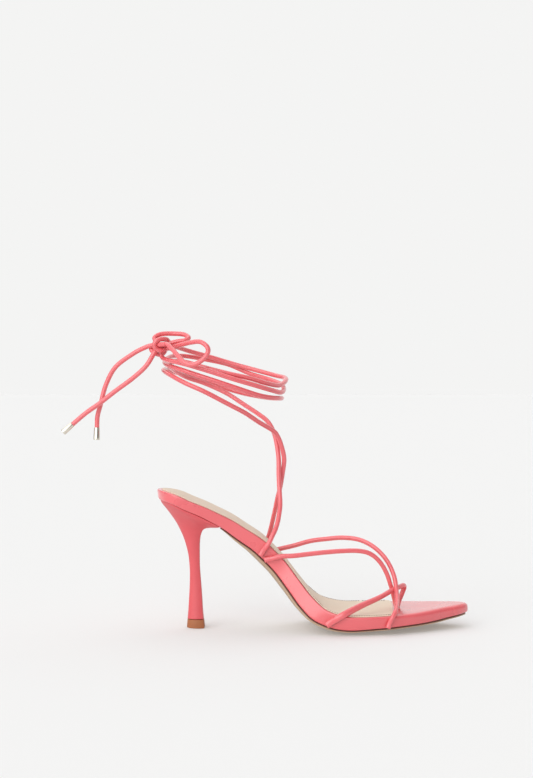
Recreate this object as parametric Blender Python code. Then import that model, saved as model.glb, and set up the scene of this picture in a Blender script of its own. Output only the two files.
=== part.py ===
"""Heeled sandal with tubular straps and ankle ties: a right shoe, empty, standing on the floor.

Frame: metres, +X to the toe, +Y to the inner side of the foot, +Z up, the floor at z = 0.
The sizes and tables below are in millimetres.
"""

from collections import namedtuple
from math import cos, pi, sin, sqrt

import bmesh
import bpy
import numpy as np
from mathutils import Vector

MM = 0.001

# Driving sizes
GAP = 0.3  # between pieces that meet
STRAP_D = 3.4  # tubular vamp straps
TIE_D = 3.3  # tubular ankle ties
SOCK_THICK = 0.7
SOCK_INSET = 1.6  # sock edge inside the footbed edge
SOCK_BACK = 3.4  # and further inside it at the heel end
SOCK_END_X = 58.4  # front of the sock, at the toe post
SOCK_END_ROUND = 2.4  # plan rounding of its front corners
SOCK_SLANT = 0.08  # its front edge runs forward this much for each unit towards the inner side
SOCK_SLANT_LENGTH = 14.0
SOLE_INSET = 1.8  # outsole edge inside the footbed edge
SOLE_START_X = -60.0  # rear end of the outsole, in front of the heel breast
HEEL_LEAN = 0.26  # the wrapped heel end leans forward this much for each unit of depth
HEEL_LEAN_LENGTH = 16.0  # and upright sides begin this far along the foot
FOOTBED_TUCK = 0.8  # the wrapped side leans in this much at the bottom
BOTTOM_ROUND = 1.2  # lower edge of the footbed
HEEL_END_ROUND = 20.0  # plan rounding of the heel end
TOE_END_ROUND = 11.0  # plan rounding of the toe end
HEEL_INSET = 1.3  # heel cup edge inside the footbed edge
HEEL_BREAST_X = -61.0  # seat station above the front of the heel
HEEL_ROUND_SHARE = 0.62  # share of a heel section that is rounded at the back
HEEL_FRONT_TAPER = 0.14  # narrowing of a heel section towards its front face
LIFT_HEIGHT = 6.0
KNOT_RADIUS = 5.6
TIP_LENGTH = 8.7
TIP_D = (3.9, 4.5)  # at the cord, at the free end
END_TRIM = 0.15  # flat left at the ends of the rounded outlines
SOCK_ROUND = (0.4, 0.2)  # upper and lower edge of the sock
EDGE_SHARE = 0.8  # most of a half width that an edge's rounding may take
SOLE_SHARES = (1.0, 0.94, 0.82, 0.64, 0.42, 0.16)  # places across half the outsole, from its edge inwards
SOLE_FALL = 2.4  # power of the outsole's fall from its edge to its crown

# Fineness of the facets
SEAT_STEPS = 58  # sections along the foot, closer together at the round ends
END_STEPS = 6  # sections on the sock's rounded front end
HEEL_STEPS = 22  # sections down the heel
ROUTE_STEPS = 16  # points read between two points of a route
STRAP_STEP = 4.2  # spacing of the points along a strap
TIE_STEP = 7.0
LOOP_STEP = 5.0
END_STEP = 6.8
KNOT_SIDES, KNOT_RINGS = 14, 10
TIP_SIDES = 16
SLOPE_PROBE = 0.2  # to each side of a place where the seat's slope is read
SHARP_ANGLE = 0.6  # radians
MERGE = 1e-6  # metres

# Side profile and plan of the sole, a row for each station along the foot.
# top: height of the footbed's upper face; thick: of the footbed; axis: sideways place of its middle;
# half: half width; round: upper edge; edge and crown: outsole thickness at its edge, and more in its middle;
# back: how much further back the inner edge lies than the outer one
Station = namedtuple("Station", "name x top thick axis half round edge crown back")
STATIONS = [
    Station("heel end", -108.5, 97.2, 7.0, 0.0, 21.5, 1.0, 1.0, 0.6, 0.0),
    Station("heel back", -100.0, 95.7, 7.0, 0.0, 21.8, 1.0, 1.0, 0.6, 0.0),
    Station("heel seat", -84.0, 89.6, 7.1, 0.0, 22.0, 1.0, 1.0, 0.6, 0.0),
    Station("heel front", -66.4, 82.0, 7.6, -0.2, 20.8, 1.0, 0.4, 0.4, 0.0),
    Station("high waist", -45.9, 70.6, 9.4, -0.6, 19.6, 1.0, 1.5, 1.4, 0.6),
    Station("waist", -24.0, 53.7, 10.0, -1.0, 19.4, 1.0, 2.0, 2.4, 1.4),
    Station("low waist", -7.7, 33.6, 10.0, -2.0, 23.0, 1.0, 2.0, 2.0, 1.6),
    Station("break", 3.0, 21.7, 11.0, -2.0, 28.8, 1.0, 1.8, 1.8, 1.9),
    Station("ball back", 13.6, 15.1, 10.2, -1.5, 33.0, 1.0, 1.4, 2.8, 1.0),
    Station("ball", 30.0, 12.7, 9.0, -1.0, 35.0, 1.2, 1.0, 3.1, 0.3),
    Station("toe base", 46.0, 12.9, 8.3, 0.0, 33.8, 1.6, 1.1, 2.5, 0.0),
    Station("mid toe", 62.8, 13.7, 8.0, 1.0, 30.0, 2.4, 1.2, 2.0, 0.0),
    Station("taper", 80.0, 14.8, 8.0, 2.2, 22.5, 3.0, 1.2, 1.5, 0.0),
    Station("point", 95.0, 15.9, 7.4, 3.4, 13.8, 3.0, 1.2, 1.0, 0.0),
    Station("tip", 109.8, 16.8, 6.3, 4.0, 7.5, 3.0, 1.1, 0.5, 0.0),
]

# Heel, a row for each section from the cup down to the top lift: back and front of the section in side
# view, and its half width
HeelSection = namedtuple("HeelSection", "name back_x back_z front_x front_z half")
HEEL_SECTIONS = [
    HeelSection("cup", -106.1, 87.9, -64.4, 70.6, 18.6),
    HeelSection("under cup", -102.5, 83.4, -69.4, 70.4, 14.6),
    HeelSection("upper flare", -97.6, 77.0, -74.2, 69.6, 11.0),
    HeelSection("lower flare", -92.4, 68.0, -77.3, 66.4, 7.4),
    HeelSection("upper stem", -88.3, 57.0, -78.8, 57.0, 5.2),
    HeelSection("stem", -86.3, 47.0, -78.8, 47.0, 4.1),
    HeelSection("waist", -85.7, 36.0, -78.2, 36.0, 3.7),
    HeelSection("lower stem", -86.2, 22.0, -77.1, 22.0, 4.4),
    HeelSection("base", -86.9, 11.0, -76.5, 11.0, 5.4),
    HeelSection("foot", -87.3, LIFT_HEIGHT + GAP, -76.0, LIFT_HEIGHT + GAP, 6.0),
]

LIFT_TREAD = HeelSection("tread", -87.7, 0.0, -75.2, 0.0, 6.5)

# Where each strap or tie runs down the side of the footbed: the seat station at each depth below its top
Descent = namedtuple("Descent", "depth station")
STRAP_AT_ARCH = [Descent(9.4, -26.8), Descent(5.0, -24.7), Descent(-0.4, -22.4)]
TIE_AT_ARCH = [Descent(9.4, -29.8), Descent(5.0, -30.5), Descent(-0.8, -31.0)]
STRAP_AT_BALL = [Descent(8.8, 11.0), Descent(5.2, 13.6), Descent(1.6, 16.8)]
STRAP_AT_TOE = [Descent(7.8, 50.0), Descent(4.0, 51.4), Descent(1.0, 53.0)]

OUTER, INNER = -1, 1  # sides of the foot along Y

# Free stretches of the straps, over the instep and down to the toe post
INSTEP_STRAP = [
    (-12.2, 20.5, 54.7), (-0.7, 19.0, 58.1), (10.6, 16.5, 59.9), (22.5, 13.0, 61.2), (32.9, 9.0, 60.4),
    (41.1, 5.0, 57.3), (48.1, 1.0, 52.0), (53.5, -3.5, 45.0), (57.1, -7.5, 36.1), (58.2, -10.6, 27.6),
    (58.0, -18.0, 22.0), (56.6, -27.0, 18.2), (55.0, -32.4, 15.4),
]
POST_STRAP = [
    (-13.1, -22.0, 52.8), (-2.1, -20.5, 53.9), (9.0, -18.5, 54.8), (20.2, -16.0, 55.3), (31.4, -13.5, 55.1),
    (39.8, -11.5, 52.9), (46.6, -9.5, 47.2), (51.6, -7.2, 38.9), (54.8, -5.2, 29.8), (57.2, -2.2, 21.4),
    (58.8, -0.4, 15.0),
]
TOE_STRAP = [
    (20.4, -36.9, 15.0), (24.9, -34.2, 16.9), (30.3, -30.0, 18.8), (36.0, -26.0, 20.7), (41.7, -22.0, 22.4),
    (47.6, -17.5, 24.4), (53.7, -11.5, 26.7), (56.8, -7.8, 27.8), (61.4, -2.2, 28.6), (64.4, 2.0, 28.9),
    (65.2, 4.6, 27.0), (63.6, 4.9, 22.6), (61.2, 2.8, 17.6), (60.3, 1.8, 15.0),
]

# The ties, from the arch up to the front of the ankle, round it and to the knot behind it
LATERAL_TIE = [
    (-28.0, -20.8, 66.0), (-25.5, -18.0, 71.2), (-23.7, -14.5, 77.4), (-22.4, -9.0, 86.4),
    (-22.8, -4.5, 95.8), (-23.3, -1.8, 106.7), (-23.4, -0.2, 117.9), (-24.6, 1.6, 127.7), (-26.6, 3.6, 136.0),
    (-30.8, 8.6, 143.7), (-37.5, 15.4, 149.0), (-49.9, 25.0, 157.0), (-61.2, 29.5, 164.1),
    (-76.4, 29.5, 171.0), (-89.1, 24.0, 175.3),
    (-96.4, 13.0, 179.5), (-99.2, 2.0, 182.5), (-98.0, -9.0, 184.9), (-93.8, -20.0, 186.2),
    (-85.2, -28.5, 184.9), (-73.5, -32.8, 181.5), (-57.9, -33.6, 177.5), (-43.8, -31.0, 174.4),
    (-32.2, -25.0, 171.0), (-23.4, -13.5, 169.6), (-18.6, -1.0, 172.6), (-19.0, 10.0, 175.0),
    (-25.6, 22.0, 176.8), (-38.1, 29.4, 180.3), (-54.8, 33.0, 184.9), (-72.9, 31.6, 190.3),
    (-87.1, 26.0, 194.2), (-96.4, 15.0, 197.0), (-102.0, 3.0, 197.6), (-103.9, -6.0, 197.2),
    (-105.0, -14.0, 196.8),
]
MEDIAL_TIE = [
    (-26.8, 15.0, 76.4), (-24.1, 8.5, 89.8), (-22.3, 4.6, 97.5), (-20.5, 2.0, 108.5),
    (-19.5, -0.4, 118.2), (-21.6, -1.8, 127.7), (-24.2, -2.8, 134.1), (-27.4, -5.4, 138.0),
    (-37.3, -14.0, 144.2), (-46.6, -22.0, 150.6), (-56.7, -28.0, 156.1), (-73.5, -33.0, 165.0),
    (-87.2, -30.0, 171.1), (-97.4, -19.0, 176.3), (-103.8, -3.0, 179.9), (-103.2, 12.5, 180.7),
    (-97.4, 24.5, 179.0), (-83.9, 34.0, 174.6), (-65.8, 37.0, 168.6), (-47.5, 33.0, 163.6),
    (-32.3, 22.0, 160.9), (-23.6, 9.0, 160.3), (-21.2, -2.0, 160.6), (-23.2, -13.0, 160.6),
    (-28.6, -22.0, 161.0), (-37.5, -29.0, 162.8), (-50.5, -33.5, 167.1), (-63.3, -35.0, 171.4),
    (-76.8, -34.0, 175.8), (-89.3, -29.0, 179.9), (-98.2, -18.0, 182.8), (-103.0, -3.0, 185.2),
    (-102.8, 10.0, 188.3), (-99.0, 22.0, 190.6), (-90.2, 30.0, 190.8), (-76.7, 35.5, 188.6),
    (-59.9, 37.0, 184.9), (-43.9, 33.0, 178.2), (-29.4, 22.0, 173.6), (-21.4, 10.0, 170.2),
    (-19.8, -2.0, 166.9), (-22.0, -14.0, 164.7), (-29.5, -25.0, 166.5), (-39.7, -32.5, 169.5),
    (-53.1, -36.4, 173.4), (-68.5, -37.2, 178.4), (-83.4, -35.6, 182.9), (-92.5, -30.6, 185.2),
    (-99.0, -23.0, 186.6), (-103.4, -16.0, 188.4), (-104.8, -15.2, 192.0),
]

# The bow behind the ankle: knot, two loops and two hanging ends
KNOT = (-105.1, -15.0, 196.7)
UPPER_LOOP = [
    KNOT, (-109.4, -11.9, 201.6), (-108.0, -10.8, 203.9), (-104.0, -9.6, 205.3), (-96.4, -8.8, 205.5),
    (-89.2, -10.5, 204.8), (-85.7, -14.0, 202.4), (-88.4, -15.8, 200.4), (-94.0, -15.6, 199.7), KNOT,
]
FRONT_LOOP = [
    KNOT, (-99.0, -18.6, 195.0), (-92.7, -23.0, 196.6), (-83.8, -32.0, 198.4), (-76.6, -40.0, 198.7),
    (-71.9, -43.2, 195.6), (-71.0, -43.5, 191.8), (-74.4, -43.5, 186.8), (-80.7, -43.0, 183.3),
    (-86.5, -41.0, 184.5), (-91.0, -37.0, 188.8), (-95.8, -31.0, 193.9), (-100.1, -25.0, 197.7), KNOT,
]
UPPER_END = [
    KNOT, (-110.5, -13.6, 197.2), (-115.3, -12.5, 196.0), (-124.5, -11.0, 191.4), (-136.8, -9.0, 182.2),
    (-143.6, -8.0, 169.8), (-147.0, -8.0, 157.3), (-149.4, -8.0, 148.2), (-149.8, -8.0, 140.6),
]
FRONT_END = [
    KNOT, (-108.9, -17.0, 192.3), (-114.8, -18.0, 182.8), (-123.9, -17.0, 174.5), (-135.8, -15.0, 165.9),
    (-147.0, -13.5, 157.3), (-156.8, -13.0, 150.4), (-165.8, -13.0, 142.8),
]

CORAL = (0.85, 0.155, 0.175)
BEIGE = (0.80, 0.60, 0.46)
TAN = (0.55, 0.40, 0.28)
LIFT_BROWN = (0.36, 0.135, 0.055)
STEEL = (0.62, 0.58, 0.50)


def curve_through(places, values):
    """A smooth function through table values that doesn't swing past any of them."""
    places, values = np.array(places, float), np.array(values, float)
    gaps = np.diff(places)
    rises = np.diff(values) / gaps
    slopes = np.concatenate([rises[:1], np.zeros(len(rises) - 1), rises[-1:]])
    for i in range(1, len(rises)):
        before, after = rises[i - 1], rises[i]
        if before * after > 0:
            slopes[i] = 2 * before * after / (before + after)

    def value(place):
        i = int(np.clip(np.searchsorted(places, place) - 1, 0, len(gaps) - 1))
        t = (place - places[i]) / gaps[i]
        start = values[i] + slopes[i] * gaps[i] * t
        end = values[i + 1] - slopes[i + 1] * gaps[i] * (1 - t)
        blend = t * t * (3 - 2 * t)
        return start * (1 - blend) + end * blend

    return value


def table_curves(rows, places):
    """One smooth function for each named number column of a table."""
    columns = rows[0]._fields[1:]
    return {c: curve_through(places, [getattr(row, c) for row in rows]) for c in columns}


sole = table_curves(STATIONS, [row.x for row in STATIONS])
SEAT_X = np.linspace(STATIONS[0].x, STATIONS[-1].x, 600)
SEAT_TOP = np.array([sole["top"](x) for x in SEAT_X])
SEAT_ARC = np.concatenate([[0.0], np.cumsum(np.hypot(np.diff(SEAT_X), np.diff(SEAT_TOP)))])
SEAT_LENGTH = SEAT_ARC[-1]
SEAT_GRID = [SEAT_LENGTH * (1 - cos(pi * k / SEAT_STEPS)) / 2 for k in range(1, SEAT_STEPS)]


def arc_at(x):
    """Length along the footbed's upper face, from the heel end, above a place on X."""
    return float(np.interp(x, SEAT_X, SEAT_ARC))


def at(column, arc):
    return sole[column](float(np.interp(arc, SEAT_ARC, SEAT_X)))


def place(arc, y, depth):
    """A point that lies a depth below the footbed's upper face, square to it."""
    x = float(np.interp(arc, SEAT_ARC, SEAT_X))
    slope = (sole["top"](x + SLOPE_PROBE) - sole["top"](x - SLOPE_PROBE)) / (2 * SLOPE_PROBE)
    length = sqrt(1 + slope * slope)
    lean = slope / length + HEEL_LEAN * max(0.0, 1 - arc / HEEL_LEAN_LENGTH)
    return Vector((x + lean * depth, y, sole["top"](x) - depth / length)) * MM


def round_end(distance, radius):
    """Share of the full width at a distance from a rounded end."""
    share = 1 - min(max(distance / radius, 0.0), 1.0)
    return sqrt(1 - share * share)


def half_width(arc, inset=0.0, heel_start=None, toe_end=SEAT_LENGTH, toe_round=TOE_END_ROUND):
    width = at("half", arc) - inset
    heel_start = inset if heel_start is None else heel_start
    return width * round_end(arc - heel_start, HEEL_END_ROUND) * round_end(toe_end - inset - arc, toe_round)


def stations(start, end, end_round=0.0):
    """Places along the seat that all sole pieces share, so that their facets lie along each other, with
    a few more on a rounded front end."""
    inside = [arc for arc in SEAT_GRID if start < arc < end - max(end_round, END_TRIM)]
    rounding = []
    if end_round:
        turns = [pi / 2 * k / END_STEPS for k in range(END_STEPS)]
        rounding = [end - end_round * (1 - sin(turn)) for turn in turns]
    return [start] + inside + rounding + [end]


def make_material(name, colour, roughness, metallic=0.0):
    material = bpy.data.materials.new(name)
    material.use_nodes = True
    shader = material.node_tree.nodes["Principled BSDF"]
    shader.inputs["Base Color"].default_value = (*colour, 1.0)
    shader.inputs["Roughness"].default_value = roughness
    shader.inputs["Metallic"].default_value = metallic
    return material


def add_object(name, data, colour, roughness, metallic=0.0, collection="heeled sandal"):
    thing = bpy.data.objects.new(name, data)
    data.materials.append(make_material(name, colour, roughness, metallic))
    bpy.data.collections[collection].objects.link(thing)
    return thing


def mesh_from(name, bm):
    bmesh.ops.remove_doubles(bm, verts=bm.verts, dist=MERGE)
    bmesh.ops.recalc_face_normals(bm, faces=bm.faces)
    mesh = bpy.data.meshes.new(name)
    bm.to_mesh(mesh)
    bm.free()
    mesh.shade_smooth()
    mesh.set_sharp_from_angle(angle=SHARP_ANGLE)
    return mesh


def loft(name, rings):
    """A closed skin over rings of points. In a ring the outer side's points come first, then the inner
    side's in reverse, so that the end caps are strips from side to side."""
    bm = bmesh.new()
    loops = [[bm.verts.new(point) for point in ring] for ring in rings]
    count = len(loops[0])
    for ring, after in zip(loops, loops[1:]):
        for j in range(count):
            k = (j + 1) % count
            bm.faces.new((ring[j], ring[k], after[k], after[j]))
    for ring in (loops[0], loops[-1]):
        for j in range(count // 2 - 1):
            bm.faces.new((ring[j], ring[j + 1], ring[count - 2 - j], ring[count - 1 - j]))
    return mesh_from(name, bm)


def ring_at(arc, side, slant=0.0):
    """One cross-section: the (width, depth) points of a side, on the outer and the inner side. With a slant
    it runs forward towards the inner side. The inner side lies as far back as the sole's table says."""
    axis = at("axis", arc)
    back = at("back", arc) / at("half", arc) * MM
    outer = [place(arc - slant * width, axis - width, depth) for width, depth in side]
    inner = [place(arc + slant * width, axis + width, depth) for width, depth in side]
    for point, (width, depth) in zip(inner, side):
        point.x -= back * width
    return outer + inner[::-1]


def slab_side(width, top, bottom, top_round, bottom_round, tuck=0.0):
    """Side of a board: rounded upper edge, wall leaning in by the tuck, rounded lower edge."""
    top_round = min(top_round, EDGE_SHARE * width)
    bottom_round = min(bottom_round, EDGE_SHARE * width)
    low = max(width - tuck, bottom_round)
    turns = [k * pi / 6 for k in range(4)]
    upper = [(width - top_round * (1 - sin(a)), top + top_round * (1 - cos(a))) for a in turns]
    lower = [(low - bottom_round * (1 - cos(a)), bottom - bottom_round * (1 - sin(a))) for a in turns]
    return upper + lower


def end_drop(arc, radius):
    """How far a rounded edge falls away near the heel end and the toe end."""
    return radius * (1 - round_end(min(arc, SEAT_LENGTH - arc), radius))


def build_footbed():
    rings = []
    for arc in stations(END_TRIM, SEAT_LENGTH - END_TRIM):
        top_round = at("round", arc)
        top = end_drop(arc, top_round)
        bottom = at("thick", arc) - end_drop(arc, BOTTOM_ROUND)
        side = slab_side(half_width(arc), top, bottom, top_round, BOTTOM_ROUND, FOOTBED_TUCK)
        rings.append(ring_at(arc, side))
    add_object("footbed", loft("footbed", rings), CORAL, 0.45)


def build_sock():
    end = arc_at(SOCK_END_X)
    rings = []
    for arc in stations(SOCK_BACK + END_TRIM, end - SOCK_INSET - END_TRIM, SOCK_END_ROUND):
        width = half_width(arc, SOCK_INSET, SOCK_BACK, end, SOCK_END_ROUND)
        slant = SOCK_SLANT * max(0.0, 1 - (end - arc) / SOCK_SLANT_LENGTH)
        rings.append(ring_at(arc, slab_side(width, -GAP - SOCK_THICK, -GAP, *SOCK_ROUND), slant))
    add_object("sock", loft("sock", rings), BEIGE, 0.55)


def build_outsole():
    """Flat above, convex below, and flat where it meets the floor under the ball of the foot."""
    rings = []
    for arc in stations(arc_at(SOLE_START_X), SEAT_LENGTH - SOLE_INSET - END_TRIM):
        width = half_width(arc, SOLE_INSET)
        top = at("thick", arc) + GAP
        edge, crown = at("edge", arc), at("crown", arc)
        under = [(width * share, top + edge + crown * (1 - share**SOLE_FALL)) for share in SOLE_SHARES]
        ring = ring_at(arc, [(width, top)] + under)
        for point in ring:
            point.z = max(point.z, 0.0)
        rings.append(ring)
    add_object("outsole", loft("outsole", rings), TAN, 0.5)


HEEL_ARCS = stations(HEEL_INSET, arc_at(HEEL_BREAST_X))


def heel_ring(section):
    """A heel section: round at the back, nearly flat at the front."""
    outer, inner = [], []
    for arc in HEEL_ARCS:
        share = (arc - HEEL_ARCS[0]) / (HEEL_ARCS[-1] - HEEL_ARCS[0])
        front = max(0.0, (share - HEEL_ROUND_SHARE) / (1 - HEEL_ROUND_SHARE))
        width = section["half"] * round_end(share, HEEL_ROUND_SHARE) * (1 - HEEL_FRONT_TAPER * front * front)
        x = section["back_x"] + (section["front_x"] - section["back_x"]) * share
        z = section["back_z"] + (section["front_z"] - section["back_z"]) * share
        outer.append(Vector((x, -width, z)) * MM)
        inner.append(Vector((x, width, z)) * MM)
    return outer + inner[::-1]


def heel_top_ring():
    """The seat of the heel, which follows the underside of the footbed."""
    outer, inner = [], []
    for arc in HEEL_ARCS:
        depth = at("thick", arc) + GAP
        width = half_width(arc, HEEL_INSET)
        outer.append(place(arc, at("axis", arc) - width, depth))
        inner.append(place(arc, at("axis", arc) + width, depth))
    return outer + inner[::-1]


def build_heel():
    curves = table_curves(HEEL_SECTIONS, range(len(HEEL_SECTIONS)))
    rings = [heel_top_ring()]
    for step in np.linspace(0, len(HEEL_SECTIONS) - 1, HEEL_STEPS):
        rings.append(heel_ring({column: curve(step) for column, curve in curves.items()}))
    add_object("heel", loft("heel", rings), CORAL, 0.4)


def build_top_lift():
    foot = HEEL_SECTIONS[-1]._replace(back_z=LIFT_HEIGHT, front_z=LIFT_HEIGHT)
    rings = [heel_ring(section._asdict()) for section in (foot, LIFT_TREAD)]
    add_object("top_lift", loft("top_lift", rings), LIFT_BROWN, 0.6)


def smooth_route(points, step):
    """Evenly spaced points along a smooth curve through the points of a route."""
    route = [Vector(p) for p in points]
    route = [2 * route[0] - route[1]] + route + [2 * route[-1] - route[-2]]
    fine = []
    for a, b, c, d in zip(route, route[1:], route[2:], route[3:]):
        for k in range(ROUTE_STEPS):
            t = k / ROUTE_STEPS
            pull = (2 * a - 5 * b + 4 * c - d) * t * t + (3 * b - a - 3 * c + d) * t * t * t
            fine.append((2 * b + (c - a) * t + pull) / 2)
    fine.append(route[-2])
    lengths = np.concatenate([[0.0], np.cumsum([(q - p).length for p, q in zip(fine, fine[1:])])])
    places = np.linspace(0, lengths[-1], max(2, round(lengths[-1] / step)) + 1)
    axes = [np.interp(places, lengths, [p[i] for p in fine]) for i in range(3)]
    return [Vector(p) for p in zip(*axes)]


def outside_knot(points):
    """The stretch of a route outside the knot, ending just short of it."""
    centre, reach = Vector(KNOT), KNOT_RADIUS + GAP
    clear = [p for p in points if (p - centre).length > reach + TIE_D / 2]
    if clear[0] != points[0]:
        clear.insert(0, centre + (clear[0] - centre).normalized() * reach)
    if clear[-1] != points[-1]:
        clear.append(centre + (clear[-1] - centre).normalized() * reach)
    return clear


def tube(name, points, diameter, collection="heeled sandal"):
    """A round cord through points in millimetres, with closed ends."""
    curve = bpy.data.curves.new(name, "CURVE")
    curve.dimensions = "3D"
    curve.bevel_depth = diameter / 2 * MM
    curve.bevel_resolution = 2
    curve.use_fill_caps = True
    spline = curve.splines.new("POLY")
    spline.points.add(len(points) - 1)
    for spot, point in zip(spline.points, points):
        spot.co = (*(Vector(point) * MM), 1.0)
    return add_object(name, curve, CORAL, 0.45, collection=collection)


def tube_as_mesh(thing):
    """The same cord as a closed mesh object, for joining."""
    bpy.context.view_layer.update()
    graph = bpy.context.evaluated_depsgraph_get()
    mesh = bpy.data.meshes.new_from_object(thing.evaluated_get(graph))
    bm = bmesh.new()
    bm.from_mesh(mesh)
    bmesh.ops.remove_doubles(bm, verts=bm.verts, dist=MERGE)
    bm.to_mesh(mesh)
    bm.free()
    name, matrix, collection = thing.name, thing.matrix_world.copy(), thing.users_collection[0]
    bpy.data.objects.remove(thing)
    solid = bpy.data.objects.new(name, mesh)
    solid.matrix_world = matrix
    collection.objects.link(solid)
    return solid


def beside_footbed(descents, side, diameter):
    """Points of a cord that runs down the wrapped side of the footbed to the outsole."""
    points = []
    for descent in descents:
        arc = arc_at(descent.station)
        out = half_width(arc) + GAP + diameter / 2
        points.append(place(arc, at("axis", arc) + side * out, descent.depth) / MM)
    return points


def build_straps():
    """The upper: three straps that cross above the toes and are one solid."""
    routes = {
        "vamp_straps": beside_footbed(STRAP_AT_ARCH, INNER, STRAP_D)
        + INSTEP_STRAP
        + beside_footbed(STRAP_AT_TOE, OUTER, STRAP_D)[::-1],
        "post_strap": beside_footbed(STRAP_AT_ARCH, OUTER, STRAP_D) + POST_STRAP,
        "toe_strap": beside_footbed(STRAP_AT_BALL, OUTER, STRAP_D) + TOE_STRAP,
    }
    solids = []
    for name, route in routes.items():
        collection = "heeled sandal" if name == "vamp_straps" else "joined pieces"
        solids.append(tube_as_mesh(tube(name, smooth_route(route, STRAP_STEP), STRAP_D, collection)))
    for other in solids[1:]:
        other.hide_render = True
        other.display_type = "WIRE"
        join = solids[0].modifiers.new(other.name, "BOOLEAN")
        join.operation = "UNION"
        join.solver = "EXACT"
        join.object = other


def build_ties():
    for name, side, route in (("tie_lateral", OUTER, LATERAL_TIE), ("tie_medial", INNER, MEDIAL_TIE)):
        whole = beside_footbed(TIE_AT_ARCH, side, TIE_D) + route
        tube(name, outside_knot(smooth_route(whole, TIE_STEP)), TIE_D)


def build_tip(name, end, direction):
    """A metal tip on the end of a cord, a little wider at its free end."""
    bm = bmesh.new()
    bmesh.ops.create_cone(
        bm, cap_ends=True, segments=TIP_SIDES, depth=TIP_LENGTH * MM,
        radius1=TIP_D[0] / 2 * MM, radius2=TIP_D[1] / 2 * MM,
    )
    tip = add_object(name, mesh_from(name, bm), STEEL, 0.25, metallic=1.0)
    tip.location = (end + direction * (GAP + TIP_LENGTH / 2)) * MM
    tip.rotation_mode = "QUATERNION"
    tip.rotation_quaternion = direction.to_track_quat("Z", "Y")


def build_bow():
    bm = bmesh.new()
    bmesh.ops.create_uvsphere(bm, u_segments=KNOT_SIDES, v_segments=KNOT_RINGS, radius=KNOT_RADIUS * MM)
    knot = add_object("knot", mesh_from("knot", bm), CORAL, 0.45)
    knot.location = Vector(KNOT) * MM
    for name, route in (("loop_upper", UPPER_LOOP), ("loop_front", FRONT_LOOP)):
        tube(name, outside_knot(smooth_route(route, LOOP_STEP)), TIE_D)
    for name, route in (("upper", UPPER_END), ("front", FRONT_END)):
        points = outside_knot(smooth_route(route, END_STEP))
        tube("end_" + name, points, TIE_D)
        build_tip("tip_" + name, points[-1], (points[-1] - points[-2]).normalized())


def build():
    for thing in list(bpy.data.objects):
        bpy.data.objects.remove(thing)
    for name in ("heeled sandal", "joined pieces"):
        bpy.context.scene.collection.children.link(bpy.data.collections.new(name))
    build_footbed()
    build_sock()
    build_outsole()
    build_heel()
    build_top_lift()
    build_straps()
    build_ties()
    build_bow()


build()
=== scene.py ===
# %% [markdown]
# # A heeled sandal with rolled cord straps
#
# The lesson dresses a finished CAD model of a right sandal: a thin wrapped sole on a slim flared heel,
# three round cords over the toes, and two long cords that wind about the ankle and end in a bow.
# The CAD solids give every size and place. Here each of them gets its finish, or a finer piece stands in
# for it.

# %% Load the frame
from math import cos, pi, radians, sin

import bmesh
import bpy
from mathutils import Matrix, Vector
from mathutils.kdtree import KDTree


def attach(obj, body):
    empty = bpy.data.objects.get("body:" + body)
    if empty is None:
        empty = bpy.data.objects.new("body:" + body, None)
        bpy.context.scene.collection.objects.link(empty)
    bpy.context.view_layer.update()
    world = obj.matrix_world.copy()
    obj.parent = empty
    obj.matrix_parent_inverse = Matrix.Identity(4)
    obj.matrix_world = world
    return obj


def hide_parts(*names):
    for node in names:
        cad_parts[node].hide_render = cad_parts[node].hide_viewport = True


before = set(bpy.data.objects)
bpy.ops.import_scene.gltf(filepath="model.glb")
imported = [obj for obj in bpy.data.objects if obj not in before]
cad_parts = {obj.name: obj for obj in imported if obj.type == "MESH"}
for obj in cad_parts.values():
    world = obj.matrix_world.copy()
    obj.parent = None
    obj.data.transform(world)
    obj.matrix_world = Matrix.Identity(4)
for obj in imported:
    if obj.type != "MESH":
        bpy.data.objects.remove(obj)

scene = bpy.context.scene
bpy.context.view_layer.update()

# %% [markdown]
# ## The camera
#
# The picture is a level side view from about shin height, taken from close to a metre away. A camera with
# a level axis keeps upright edges upright. Its focal length in pixels becomes a lens in millimetres when it
# is scaled by the sensor that the long side of the picture covers.

# %% Camera at the picture's viewing angle
PICTURE_HEIGHT = 778  # pixels
FOCAL_LENGTH = 1311  # pixels
SENSOR = 36.0  # millimetres along the picture's long side
CAMERA_PLACE = (-0.0319, -0.920, 0.167)

camera_data = bpy.data.cameras.new("picture camera")
camera_data.sensor_width = SENSOR
camera_data.lens = SENSOR * FOCAL_LENGTH / PICTURE_HEIGHT
camera = bpy.data.objects.new("picture camera", camera_data)
camera.location = CAMERA_PLACE
camera.rotation_euler = (radians(90), 0, 0)
scene.collection.objects.link(camera)
scene.camera = camera
print("lens", round(camera_data.lens, 2), "mm")

# %% [markdown]
# ## The studio
#
# The picture has no horizon: floor and backdrop are one pale white. A wide flat disc is the floor, and what
# the camera sees behind it is given the brightness of the lit floor. Then the two run into each other from
# any side. That only works if the light on the floor is even, so the main light is a sun: it doesn't fade
# with distance as a lamp does. The floor also glows a little, which is painted light: it keeps the shadow
# under the sole from going black.

# %% Floor
FLOOR_RADIUS = 40.0
FLOOR_DROP = 0.0001  # keeps the floor just under the treads
# painted light: the floor glows though it is no lamp, which lifts the shadow under the sole
FLOOR_PAINTED_GLOW = 0.20

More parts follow.
